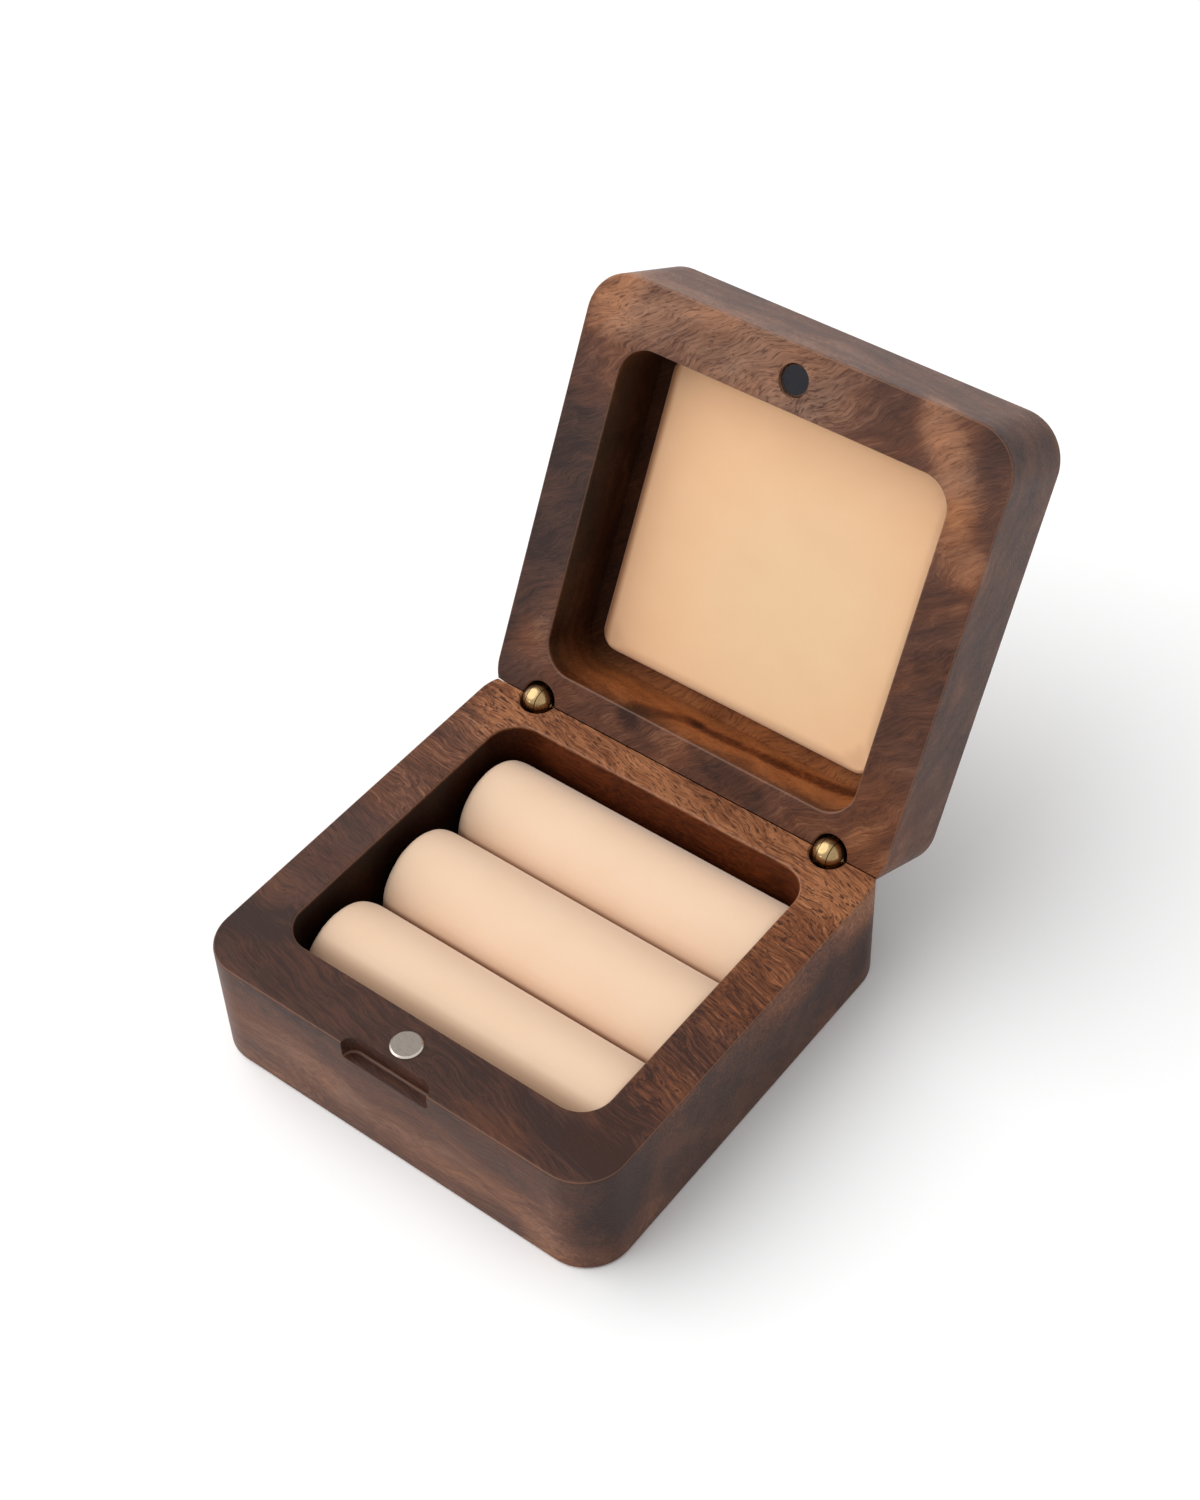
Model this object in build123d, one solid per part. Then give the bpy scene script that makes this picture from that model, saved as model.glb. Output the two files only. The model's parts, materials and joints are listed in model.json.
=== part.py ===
from build123d import *
import math
import os

# A hinged wooden ring box, standing open. Millimetres.
# The origin is the centre of the underside, +X runs to the right along the front,
# +Y towards the hinges and +Z up. The lid is modelled closed and then turned open.

# Wooden blocks
box_width = 62.0
box_depth = 62.0
base_height = 17.8
lid_height = 13.7
rim_gap = 0.15
outer_corner_radius = 6.2
side_wall = 6.8
front_wall = 8.3
back_wall = 8.2
cavity_corner_radius = 4.3
base_floor = 3.3
lid_top = 3.5
rim_edge_round = 0.3
base_foot_chamfer = 0.4
lid_top_round = 0.8
open_angle = 116.4

# Finger notch in the front of the base
notch_width = 13.3
notch_depth = 1.7
notch_height = 2.65
notch_corner_radius = 1.6
notch_floor_round = 0.4

# Barrel hinges, one half in the base and one in the lid
hinge_inset = 3.5
hinge_side_inset = 7.7
barrel_diameter = 5.0
barrel_reach = 10.0
shoulder_gap = 0.1
bore_chamfer = 0.2
groove_count = 3
groove_depth = 0.25
groove_pitch = 1.5
barrel_end_chamfer = 0.4
knuckle_diameter = 4.1
knuckle_clearance = 0.15
tongue_thickness = 1.4
tongue_side_clearance = 0.1
pin_diameter = 0.9
pin_clearance = 0.04
pin_end_depth = 0.1

# Magnets of the catch
magnet_diameter = 4.1
magnet_thickness = 2.0
magnet_inset = 4.35
magnet_chamfer = 0.2
base_magnet_stand = 0.3
lid_magnet_recess = 0.45
lid_pocket_clearance = 0.1

# Ring cushion in the base: rolls of covered foam on a board
roll_names = ("front", "middle", "back")
roll_gap = 0.1
roll_left_gap = 1.4
roll_crown_drop = 2.3
roll_left_round = 2.6
roll_right_round = 1.0
roll_core_trim = 0.7
roll_cover_thickness = 0.7
insert_board_thickness = 1.0
insert_board_gap = 0.2

# Liner in the lid: a covered pad on a board
liner_inset = 2.45
liner_front_inset = 1.2
liner_corner_radius = 2.7
liner_edge_round = 1.1
liner_board_thickness = 0.6
liner_foam_thickness = 0.6
liner_foam_trim = 0.4
liner_cover_thickness = 0.4

# Places worked out from the sizes above
pivot_y = box_depth / 2 - hinge_inset
hinge_offset = box_width / 2 - hinge_side_inset
joint_height = base_height + rim_gap / 2
rim_z = -rim_gap / 2
bevel_angle = open_angle / 2
wedge_angle = 90 - bevel_angle
cavity_width = box_width - 2 * side_wall
cavity_depth = box_depth - front_wall - back_wall
cavity_y = (front_wall - back_wall) / 2
magnet_y = magnet_inset - box_depth / 2

# Each half is drawn below the joint plane, at z = 0, with the hinge line on that plane.
lid_turn = Pos(0, pivot_y, 0) * Rot(X=-open_angle) * Pos(0, -pivot_y, 0) * Rot(Y=180)


def on_base(shape, x=0.0):
    return Pos(x, 0, joint_height) * shape


def on_lid(shape, x=0.0):
    return Pos(x, 0, joint_height) * lid_turn * shape


def save(node, shape):
    solid = shape.solids()[0] if len(shape.solids()) == 1 else Compound(shape.solids())
    solid.label = node
    export_step(solid, os.path.join("parts", node + ".step"))


# Shared shapes

def rounded_prism(width, depth, radius, top, height, y=0.0):
    """An upright block with round corners, from z = top downwards."""
    outline = Pos(0, y, top) * RectangleRounded(width, depth, radius)
    return extrude(outline, -height)


def face_edges(block):
    """The edges of a block's face at the joint."""
    return block.faces().sort_by(Axis.Z)[-1].edges()


def bevel_waste(gap):
    """What lies behind the bevel that lets the halves fold back, gap away from the hinge line."""
    tilt = math.radians(bevel_angle)
    outward = Vector(0, math.sin(tilt), math.cos(tilt))
    face = Plane(Vector(0, pivot_y, 0) - outward * gap, x_dir=(1, 0, 0), z_dir=outward)
    size = box_width + box_depth
    return face * Box(size, size, size, align=(Align.CENTER, Align.CENTER, Align.MIN))


def upright(radius, top, height, y):
    return Pos(0, y, top) * Cylinder(radius, height, align=(Align.CENTER, Align.CENTER, Align.MAX))


# Wooden blocks

def wooden_block(height, closed_thickness, ease_far_edge, far_ease, pocket_radius, pocket_depth):
    """Half of the box: rim at the joint plane, hollow, bevelled at the back, bored for its metal."""
    block = rounded_prism(box_width, box_depth, outer_corner_radius, rim_z, height)
    block = ease_far_edge(block.faces().sort_by(Axis.Z)[0].edges(), far_ease)
    block = fillet(face_edges(block), rim_edge_round)
    hollow_depth = height - closed_thickness
    block -= rounded_prism(cavity_width, cavity_depth, cavity_corner_radius, rim_z, hollow_depth, cavity_y)
    rim = block.faces().filter_by(Plane.XY).sort_by(Axis.Z)[-1]
    block = fillet(rim.inner_wires()[0].edges(), rim_edge_round)
    block -= bevel_waste(-rim_z)
    for x in (-hinge_offset, hinge_offset):
        bore = upright(barrel_diameter / 2, 0, barrel_reach, pivot_y)
        mouth = Cone(barrel_diameter / 2, barrel_diameter / 2 + bore_chamfer, bore_chamfer)
        bore += Pos(0, pivot_y, rim_z - bore_chamfer / 2) * mouth
        block -= Pos(x, 0, 0) * bore
    block -= upright(pocket_radius, 0, pocket_depth - rim_z, magnet_y)
    return block


def finger_notch():
    """The waste of the notch, rounded at its inner corners and along its floor."""
    front = -box_depth / 2
    waste = Pos(0, front, rim_z) * Box(notch_width, 2 * notch_depth, 2 * notch_height)
    upright_edges = waste.edges().filter_by(Axis.Z).group_by(Axis.Y)[-1]
    waste = fillet(upright_edges, notch_corner_radius)
    inner_floor = waste.faces().sort_by(Axis.Z)[0].edges().filter_by(
        lambda edge: edge.center().Y > front)
    return fillet(inner_floor, notch_floor_round)


# Barrel hinges

def barrel():
    """The grooved shank that is glued into its bore, with the rounded neck of the knuckle."""
    radius = barrel_diameter / 2
    shoulder = radius / math.tan(math.radians(wedge_angle)) + shoulder_gap
    shank = upright(radius, -shoulder, barrel_reach - shoulder, pivot_y)
    shank = chamfer(shank.faces().sort_by(Axis.Z)[0].edges(), barrel_end_chamfer)
    groove = Rot(X=90) * RegularPolygon(groove_depth, side_count=4)
    for turn in range(groove_count):
        z = -(shoulder + barrel_reach) / 2 + (turn - (groove_count - 1) / 2) * groove_pitch
        shank -= revolve(Pos(radius, pivot_y, z) * groove, Axis((0, pivot_y, 0), (0, 0, 1)))
    neck = upright(knuckle_diameter / 2, 0, shoulder, pivot_y)
    return shank + (neck - bevel_waste(knuckle_clearance))


def ball(radius):
    return Pos(0, pivot_y, 0) * Sphere(radius)


def cross_hole(radius, length):
    return Pos(0, pivot_y, 0) * Rot(Y=90) * Cylinder(radius, length)


def fork():
    """The base half: a ball slotted for the tongue, with a hole for the pin in each cheek."""
    slot_width = tongue_thickness + 2 * tongue_side_clearance
    slot = cross_hole(knuckle_diameter / 2 + knuckle_clearance, slot_width)
    body = barrel() + ball(knuckle_diameter / 2) - slot
    return body - cross_hole(pin_diameter / 2, knuckle_diameter)


def tongue():
    """The lid half: a flat round tongue that turns on the pin, on a neck cupped round the ball."""
    cupped = barrel() - ball(knuckle_diameter / 2 + knuckle_clearance)
    blade = barrel() + ball(knuckle_diameter / 2)
    blade &= Pos(0, pivot_y, 0) * Box(tongue_thickness, barrel_diameter, 2 * barrel_reach)
    return cupped + blade - cross_hole(pin_diameter / 2 + pin_clearance, knuckle_diameter)


def hinge_pin():
    radius = knuckle_diameter / 2
    cheek_reach = math.sqrt(radius ** 2 - (pin_diameter / 2) ** 2)
    return cross_hole(pin_diameter / 2, 2 * (cheek_reach - pin_end_depth))


# Magnets

def magnet(depth):
    """A disc magnet whose face lies depth below the rim, or stands proud where depth is negative."""
    disc = upright(magnet_diameter / 2, rim_z - depth, magnet_thickness, magnet_y)
    return chamfer(face_edges(disc), magnet_chamfer)


# Ring cushion

board_top = rim_z - base_height + base_floor + insert_board_thickness
crown_top = rim_z - roll_crown_drop
roll_pitch = (cavity_depth - roll_gap) / len(roll_names)
roll_width = roll_pitch - roll_gap


def roll_section(x, inset):
    """The arched outline of a roll, inset all round except along its flat foot."""
    half = roll_width / 2 - inset
    spring = crown_top - roll_width / 2
    with BuildSketch(Plane.YZ.offset(x)) as sketch:
        with BuildLine():
            Polyline((-half, spring), (-half, board_top), (half, board_top), (half, spring))
            RadiusArc((half, spring), (0, spring + half), -half)
            RadiusArc((0, spring + half), (-half, spring), -half)
        make_face()
    return sketch.sketch


def roll_body(inset, ease, left_ease, right_ease):
    """A straight roll, inset all round except along its flat foot, with both ends eased."""
    left = roll_left_gap + inset - cavity_width / 2
    right = cavity_width / 2 - roll_gap - inset
    body = extrude(roll_section(left, inset), right - left, dir=(1, 0, 0))
    for place, amount in ((0, left_ease), (-1, right_ease)):
        end = body.faces().filter_by(Axis.X).sort_by(Axis.X)[place]
        raised = end.edges().filter_by_position(Axis.Z, board_top, crown_top, inclusive=(False, True))
        body = ease(raised, amount)
    return body


def hollow_end(gap):
    """The right end of the hollow with its round corners, gap away from the walls."""
    room = rounded_prism(2 * (cavity_width - gap), cavity_depth - 2 * gap,
                         cavity_corner_radius - gap, rim_z, base_height, cavity_y)
    return Pos(-cavity_width / 2, 0, 0) * room


def roll_parts(y):
    """The foam core of one roll and the cover drawn over it down to the board."""
    core = Pos(0, y, 0) * roll_body(roll_cover_thickness, chamfer, roll_core_trim, roll_core_trim)
    outside = Pos(0, y, 0) * roll_body(0, fillet, roll_left_round, roll_right_round)
    core &= hollow_end(roll_gap / 2 + roll_cover_thickness)
    return core, (outside & hollow_end(roll_gap / 2)) - core


def roll_y(index):
    return cavity_y + (index - (len(roll_names) - 1) / 2) * roll_pitch


def insert_board():
    """The card that carries the rolls on the floor of the base."""
    return rounded_prism(cavity_width - 2 * insert_board_gap, cavity_depth - 2 * insert_board_gap,
                         cavity_corner_radius - insert_board_gap, board_top, insert_board_thickness,
                         cavity_y)


# Lid liner

ceiling = rim_z - lid_height + lid_top


def liner_block(thickness, inset):
    """A block of the pad that stands on the ceiling of the lid."""
    depth = cavity_depth - liner_inset - liner_front_inset
    return rounded_prism(cavity_width - 2 * (liner_inset + inset), depth - 2 * inset,
                         liner_corner_radius - inset, ceiling + thickness, thickness,
                         cavity_y - (liner_inset - liner_front_inset) / 2)


def liner_parts():
    """Board and foam with trimmed edges, and the cover drawn over them down to the ceiling."""
    padding = liner_board_thickness + liner_foam_thickness
    padded = chamfer(face_edges(liner_block(padding, liner_cover_thickness)), liner_foam_trim)
    outside = fillet(face_edges(liner_block(padding + liner_cover_thickness, 0)), liner_edge_round)
    board = liner_block(liner_board_thickness, liner_cover_thickness)
    return board, padded - board, outside - padded


# Nodes

os.makedirs("parts", exist_ok=True)

magnet_radius = magnet_diameter / 2
base_pocket = magnet_thickness - base_magnet_stand
base_block = wooden_block(base_height, base_floor, chamfer, base_foot_chamfer, magnet_radius, base_pocket)
save("base_block", on_base(base_block - finger_notch()))
lid_pocket = magnet_thickness + lid_magnet_recess
lid_block = wooden_block(lid_height, lid_top, fillet, lid_top_round,
                         magnet_radius + lid_pocket_clearance, lid_pocket)
save("lid_block", on_lid(lid_block))
save("base_magnet", on_base(magnet(-base_magnet_stand)))
save("lid_magnet", on_lid(magnet(lid_magnet_recess)))

for side, x in (("left", -hinge_offset), ("right", hinge_offset)):
    save("hinge_" + side + "_fork", on_base(fork(), x))
    save("hinge_" + side + "_pin", on_base(hinge_pin(), x))
    save("hinge_" + side + "_tongue", on_lid(tongue(), x))

save("insert_board", on_base(insert_board()))
for index, name in enumerate(roll_names):
    core, cover = roll_parts(roll_y(index))
    save("roll_" + name + "_core", on_base(core))
    save("roll_" + name + "_cover", on_base(cover))

liner_board, liner_foam, liner_cover = liner_parts()
save("liner_board", on_lid(liner_board))
save("liner_foam", on_lid(liner_foam))
save("liner_cover", on_lid(liner_cover))
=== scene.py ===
import json
import math
from collections import namedtuple

import bmesh
import bpy
import numpy as np
from bpy.props import FloatProperty, FloatVectorProperty, PointerProperty
from mathutils import Matrix, Vector


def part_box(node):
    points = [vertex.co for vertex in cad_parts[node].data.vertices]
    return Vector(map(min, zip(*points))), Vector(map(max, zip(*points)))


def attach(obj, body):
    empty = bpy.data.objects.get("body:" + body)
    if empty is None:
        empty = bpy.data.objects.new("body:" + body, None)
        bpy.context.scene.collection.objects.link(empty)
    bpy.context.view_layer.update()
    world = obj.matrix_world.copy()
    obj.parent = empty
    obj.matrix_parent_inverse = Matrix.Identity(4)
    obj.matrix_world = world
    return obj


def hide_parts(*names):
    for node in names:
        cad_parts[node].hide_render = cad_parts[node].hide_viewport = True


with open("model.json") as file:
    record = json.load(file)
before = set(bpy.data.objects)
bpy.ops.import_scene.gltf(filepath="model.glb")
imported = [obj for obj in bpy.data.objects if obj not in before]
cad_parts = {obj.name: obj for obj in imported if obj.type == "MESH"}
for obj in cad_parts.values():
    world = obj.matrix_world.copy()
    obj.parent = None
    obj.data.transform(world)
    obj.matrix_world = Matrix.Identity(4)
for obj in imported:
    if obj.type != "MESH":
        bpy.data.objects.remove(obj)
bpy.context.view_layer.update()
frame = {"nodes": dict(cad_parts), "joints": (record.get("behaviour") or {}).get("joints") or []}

# A hinged walnut ring box with a ring cushion in the base and a padded lid, standing open.
# Everything is in metres, in the frame of the packed part.

bl_info = {
    "name": "Walnut Ring Box",
    "version": (1, 0, 0),
    "blender": (4, 5, 0),
    "location": "3D View > Sidebar > Ring Box",
    "description": "Dresses a hinged walnut ring box with its cushion, liner, hinges and magnets",
    "category": "Object",
}

MM = 0.001
HINGE = frame["joints"][0]
HINGE_LINE = Vector(HINGE["pos_m"])
OPEN_ANGLE = math.radians(HINGE["range_deg"][1])
ROLLS = ("front", "middle", "back")
SIDES = ("left", "right")
QUARTER_TURN = math.pi / 2


# Sizes and colours

class WoodSettings(bpy.types.PropertyGroup):
    """Figure and finish of the walnut."""
    dark: FloatVectorProperty(
        name="Dark grain", description="Colour of the darkest bands", subtype="COLOR",
        size=4, min=0, max=1, default=(0.029, 0.0155, 0.0135, 1))
    brown: FloatVectorProperty(
        name="Brown grain", description="Colour of most of the wood", subtype="COLOR",
        size=4, min=0, max=1, default=(0.086, 0.040, 0.028, 1))
    grey: FloatVectorProperty(
        name="Grey grain", description="Colour of the pale sapwood bands", subtype="COLOR",
        size=4, min=0, max=1, default=(0.300, 0.165, 0.108, 1))
    deep_red: FloatVectorProperty(
        name="Deep red", description="Colour of the darkest reddish bands", subtype="COLOR",
        size=4, min=0, max=1, default=(0.034, 0.010, 0.005, 1))
    red: FloatVectorProperty(
        name="Red grain", description="Colour of the reddish wood", subtype="COLOR",
        size=4, min=0, max=1, default=(0.145, 0.047, 0.018, 1))
    amber: FloatVectorProperty(
        name="Amber grain", description="Colour of the palest reddish spots", subtype="COLOR",
        size=4, min=0, max=1, default=(0.400, 0.165, 0.072, 1))
    # The hollow tints darken and warm the wood inside the hollows. They are partly painted shade of
    # the recesses.
    base_hollow_tint_and_shade: FloatVectorProperty(
        name="Base hollow", description="How the wood inside the base takes up the light",
        subtype="COLOR", size=4, min=0, max=1, default=(0.37, 0.18, 0.05, 1))
    lid_hollow_tint_and_shade: FloatVectorProperty(
        name="Lid hollow", description="How the wood inside the lid takes up the light",
        subtype="COLOR", size=4, min=0, max=1, default=(0.90, 0.68, 0.42, 1))
    ring_spacing: FloatProperty(
        name="Ring spacing", description="Distance between growth rings, in millimetres",
        default=3.4, min=0.5, max=20)
    roughness: FloatProperty(
        name="Roughness", description="Roughness of the oiled surface", subtype="FACTOR",
        default=0.42, min=0, max=1)


class FabricSettings(bpy.types.PropertyGroup):
    """Microfibre of the ring cushion and of the lid's liner."""
    colour: FloatVectorProperty(
        name="Microfibre", description="Colour of the cushion", subtype="COLOR",
        size=4, min=0, max=1, default=(0.765, 0.557, 0.398, 1))
    # The liner's colour is partly painted light: brighter and more orange than the rolls' to make
    # up for the light it gets
    liner: FloatVectorProperty(
        name="Liner", description="Colour of the lid's liner", subtype="COLOR",
        size=4, min=0, max=1, default=(0.945, 0.580, 0.335, 1))
    # Painted shade: tint of the cushion deep between its rolls and along the front wall, also used
    # at the liner's left edge
    groove_shade: FloatVectorProperty(
        name="Groove", description="Tint of the cushion deep between its rolls", subtype="COLOR",
        size=4, min=0, max=1, default=(0.42, 0.23, 0.12, 1))
    # Painted light: the liner's middle is tinted paler and its borders stay warmer, like bounced
    # light
    middle: FloatVectorProperty(
        name="Middle", description="Tint of the liner round its middle", subtype="COLOR",
        size=4, min=0, max=1, default=(0.85, 0.96, 1.0, 1))
    shrink: FloatProperty(
        name="Shrink", description="How far inside its end form a cover starts to swell",
        subtype="DISTANCE", default=0.12 * MM, min=0, max=0.002)
    roll_pressure: FloatProperty(
        name="Roll pressure", description="Pressure that swells a roll when its cover is simulated",
        default=4.0, min=0, max=20)
    roll_left_end: FloatProperty(
        name="Left end", description="Radius of a roll's rounded left end", subtype="DISTANCE",
        default=1.6 * MM, min=0.0003, max=0.007)
    roll_right_end: FloatProperty(
        name="Right end", description="Radius of a roll's rounded right end", subtype="DISTANCE",
        default=1.0 * MM, min=0.0003, max=0.007)
    hollow_corner: FloatProperty(
        name="Hollow corner",
        description="Radius of the hollow's corners that the rolls are pushed into",
        subtype="DISTANCE", default=4.25 * MM, min=0.0005, max=0.01)
    liner_pressure: FloatProperty(
        name="Liner pressure", description="Pressure that swells the liner when it is simulated",
        default=0.25, min=0, max=20)
    liner_rise: FloatProperty(
        name="Liner rise", description="How far the middle of the liner stands out",
        subtype="DISTANCE", default=0.15 * MM, min=0, max=0.002)
    liner_corner: FloatProperty(
        name="Liner corner", description="Radius of the liner's corners", subtype="DISTANCE",
        default=2.7 * MM, min=0.0005, max=0.01)
    liner_edge: FloatProperty(
        name="Liner edge", description="Radius of the liner's rounded edge", subtype="DISTANCE",
        default=0.8 * MM, min=0.0002, max=0.0012)
    voxel: FloatProperty(
        name="Cloth grain", description="Size of a face of the simulated covers",
        subtype="DISTANCE", default=0.5 * MM, min=0.0003, max=0.002)


class MetalSettings(bpy.types.PropertyGroup):
    """Brass of the hinges and nickel of the magnets."""
    brass: FloatVectorProperty(
        name="Brass", description="Colour of the hinges", subtype="COLOR",
        size=4, min=0, max=1, default=(0.400, 0.272, 0.130, 1))
    nickel: FloatVectorProperty(
        name="Nickel", description="Colour of the magnets' plating", subtype="COLOR",
        size=4, min=0, max=1, default=(0.200, 0.174, 0.154, 1))
    # Painted shade: the lid magnet has the same plating, darkened to stand for the shade and dark
    # reflections it sits in
    shaded_nickel: FloatVectorProperty(
        name="Dark nickel", description="Colour of the lid magnet's darker plating",
        subtype="COLOR", size=4, min=0, max=1, default=(0.028, 0.028, 0.032, 1))
    # Painted highlight: the magnets' rims are coloured brighter than their faces
    rim: FloatVectorProperty(
        name="Nickel edge", description="Colour of the plating round the magnets' edges",
        subtype="COLOR", size=4, min=0, max=1, default=(0.56, 0.50, 0.45, 1))
    roughness: FloatProperty(
        name="Roughness", description="Roughness of the turned brass", subtype="FACTOR",
        default=0.20, min=0, max=1)


class StageSettings(bpy.types.PropertyGroup):
    """Floor, light and camera."""
    floor: FloatVectorProperty(
        name="Floor", description="Colour of the paper under the box", subtype="COLOR",
        size=4, min=0, max=1, default=(0.95, 0.95, 0.95, 1))
    key_power: FloatProperty(
        name="Key light", description="Power of the large lamp above the box", subtype="POWER",
        default=88.0, min=0, max=500)
    key_size: FloatProperty(
        name="Key size", description="Diameter of the large lamp", subtype="DISTANCE",
        default=4.2, min=0.1, max=10)
    key_place: FloatVectorProperty(
        name="Key place", description="Where the large lamp hangs", subtype="TRANSLATION",
        size=3, default=(-1.55, -0.75, 1.95))
    sky: FloatProperty(
        name="Sky", description="Strength of the even light from all round",
        default=0.60, min=0, max=2)
    eye: FloatVectorProperty(
        name="Camera place", description="Where the camera stands", subtype="TRANSLATION",
        size=3, default=(0.13563, -0.15242, 0.25813))
    turn: FloatVectorProperty(
        name="Camera turn", description="How the camera is turned", subtype="EULER",
        size=3, default=tuple(math.radians(a) for a in (43.7188, 1.8701, 37.6120)))
    lens: FloatProperty(
        name="Lens", description="Focal length in millimetres", default=61.08, min=10, max=300)


# Wiring of node trees

# Part of a band's reach that has its full strength, and the values between which most noise lies
FULL_SHARE = 0.2
NOISE_RANGE = (0.3, 0.7)


class Wiring:
    """Adds nodes to a tree. An input is given as a socket to join or as a value to set."""

    def __init__(self, tree):
        self.tree = tree

    def feed(self, socket, value):
        if isinstance(value, bpy.types.NodeSocket):
            self.tree.links.new(value, socket)
        else:
            socket.default_value = value

    def add(self, kind, inputs=None, **settings):
        node = self.tree.nodes.new(kind)
        for name, value in settings.items():
            setattr(node, name, value)
        for key, value in (inputs or {}).items():
            self.feed(node.inputs[key], value)
        return node

    def math(self, operation, *values, clamp=False):
        node = self.add("ShaderNodeMath", dict(enumerate(values)), operation=operation)
        node.use_clamp = clamp
        return node.outputs[0]

    def vector(self, operation, *values):
        """A vector, or a number where the operation makes one."""
        node = self.add("ShaderNodeVectorMath", dict(enumerate(values)), operation=operation)
        return node.outputs[1 if operation in ("DISTANCE", "DOT_PRODUCT") else 0]

    def parts(self, vector):
        return self.add("ShaderNodeSeparateXYZ", {0: vector}).outputs

    def noise(self, vector, stretch, detail=2.0, roughness=0.5, distortion=0.0, colour=False):
        """Noise whose features are as long as stretch says, in the units of the vector."""
        scaled = self.vector("DIVIDE", vector, stretch)
        node = self.add("ShaderNodeTexNoise", {
            "Vector": scaled, "Scale": 1.0, "Detail": detail, "Roughness": roughness,
            "Distortion": distortion})
        return node.outputs[1 if colour else 0]

    def swing(self, value, amount):
        """A noise value as an amount to add, up and down from nothing."""
        return self.math("MULTIPLY", self.math("SUBTRACT", value, 0.5), amount)

    def nearness(self, vector, start, end, reach):
        """1 along the line from start to end, falling softly to 0 at the reach."""
        start, along = Vector(start), Vector(end) - Vector(start)
        from_start = self.vector("SUBTRACT", vector, start)
        share = self.vector("DOT_PRODUCT", from_start, along / along.length_squared)
        nearest = self.vector("MULTIPLY_ADD", self.clamped(share), along, start)
        distance = self.vector("DISTANCE", vector, nearest)
        return self.span(distance, reach, FULL_SHARE * reach, smooth=True)

    def clamped(self, value):
        """The value, kept between 0 and 1."""
        return self.math("MULTIPLY", value, 1.0, clamp=True)

    def span(self, value, low, high, start=0.0, end=1.0, smooth=False):
        """What runs from start to end while the value runs from low to high."""
        node = self.add("ShaderNodeMapRange", {0: value, 1: low, 2: high, 3: start, 4: end})
        node.interpolation_type = "SMOOTHSTEP" if smooth else "LINEAR"
        return node.outputs[0]

    def mix(self, share, first, second, blend="MIX"):
        node = self.add("ShaderNodeMix", data_type="RGBA", blend_type=blend)
        for place, value in ((0, share), (6, first), (7, second)):
            self.feed(node.inputs[place], value)
        return node.outputs[2]

    def ramp(self, value, stops):
        node = self.add("ShaderNodeValToRGB", {0: value})
        line = node.color_ramp
        stops = tuple(stops)
        while len(line.elements) < len(stops):
            line.elements.new(1.0)
        for element, (place, colour) in zip(line.elements, stops):
            element.position = place
            element.color = tuple(colour)
        return node.outputs[0]


def new_material(name, **fixed):
    """A material with one Principled shader, whose fixed values are set on its own sockets."""
    material = bpy.data.materials.new(name)
    material.use_nodes = True
    tree = material.node_tree
    tree.nodes.clear()
    wiring = Wiring(tree)
    shader = wiring.add("ShaderNodeBsdfPrincipled")
    out = wiring.add("ShaderNodeOutputMaterial")
    tree.links.new(shader.outputs[0], out.inputs[0])
    for key, value in fixed.items():
        shader.inputs[key.replace("_", " ")].default_value = value
    return material, wiring, shader


def coat(wiring, shader, colour, relief, strength, depth, roughness=None):
    """Joins a colour, a fine relief of a depth in millimetres and a roughness to a shader."""
    wiring.feed(shader.inputs["Base Color"], colour)
    bump = wiring.add("ShaderNodeBump", {
        "Height": relief, "Strength": strength, "Distance": depth * MM})
    wiring.feed(shader.inputs["Normal"], bump.outputs[0])
    if roughness is not None:
        wiring.feed(shader.inputs["Roughness"], roughness)


def shaded(colour, shares):
    """A colour with its three parts scaled."""
    return [part * share for part, share in zip(colour, (*shares, 1))]


def in_millimetres(wiring, turn=0.0, centre=(0, 0, 0)):
    """Object coordinates in millimetres from a centre, turned about X."""
    place = wiring.add("ShaderNodeTexCoord").outputs["Object"]
    shift = -(Matrix.Rotation(turn, 3, "X") @ (Vector(centre) / MM))
    return wiring.add("ShaderNodeMapping", {
        "Vector": place, "Scale": (1 / MM,) * 3, "Rotation": (turn, 0, 0),
        "Location": shift}).outputs[0]


def facing(wiring, axis):
    """1 where a surface faces along the axis or against it, 0 where it stands square to it."""
    normal = wiring.add("ShaderNodeTexCoord").outputs["Normal"]
    return wiring.math("ABSOLUTE", wiring.vector("DOT_PRODUCT", normal, axis))


def dress(node, material):
    """Gives a CAD node its material."""
    mesh = frame["nodes"][node].data
    mesh.materials.clear()
    mesh.materials.append(material)


# Walnut

# Sizes of the figure's features along the grain and across it, in millimetres
CURLS = (13, 8, 8)
RING_WAVES = (26, 11, 9)
PATCHES = (18, 6, 6)
BLUSHES = (12, 5, 5)
STREAKS = (10.0, 0.42, 0.42)
FIBRES = (3.6, 0.15, 0.15)
PORES = (1.25, 0.24, 0.24)

# The rings lie round a line at this place, in millimetres. The way along the grain hardly counts.
RING_CENTRE = (0, -42, -64)
RING_FORM = (0.05, 1, 1)
RING_WANDER = 16.0

# Plain wood has this tone, from dark at 0 to pale at 1, this warmth and this many flecks. Patches
# and blushes swing the first two so far. The bands drift this far, in millimetres.
TONE, PATCH_SWING = 0.38, 0.55
WARMTH, BLUSH_SWING = 0.34, 0.9
FLECKS = 0.25
BAND_DRIFT = (6, 6, 4)

# How far streaks and fibres swing the tone where the wood is flecked, and the least and most fleck
STREAK_SWING, FIBRE_SWING = 0.80, 0.60
FLECK_RANGE = (-0.2, 1.1)

# Where the tone turns from dark over middle to pale, in the cool and in the warm wood
COOL_TONES = (0.10, 0.40, 0.85)
WARM_TONES = (0.10, 0.42, 0.85)

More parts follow.
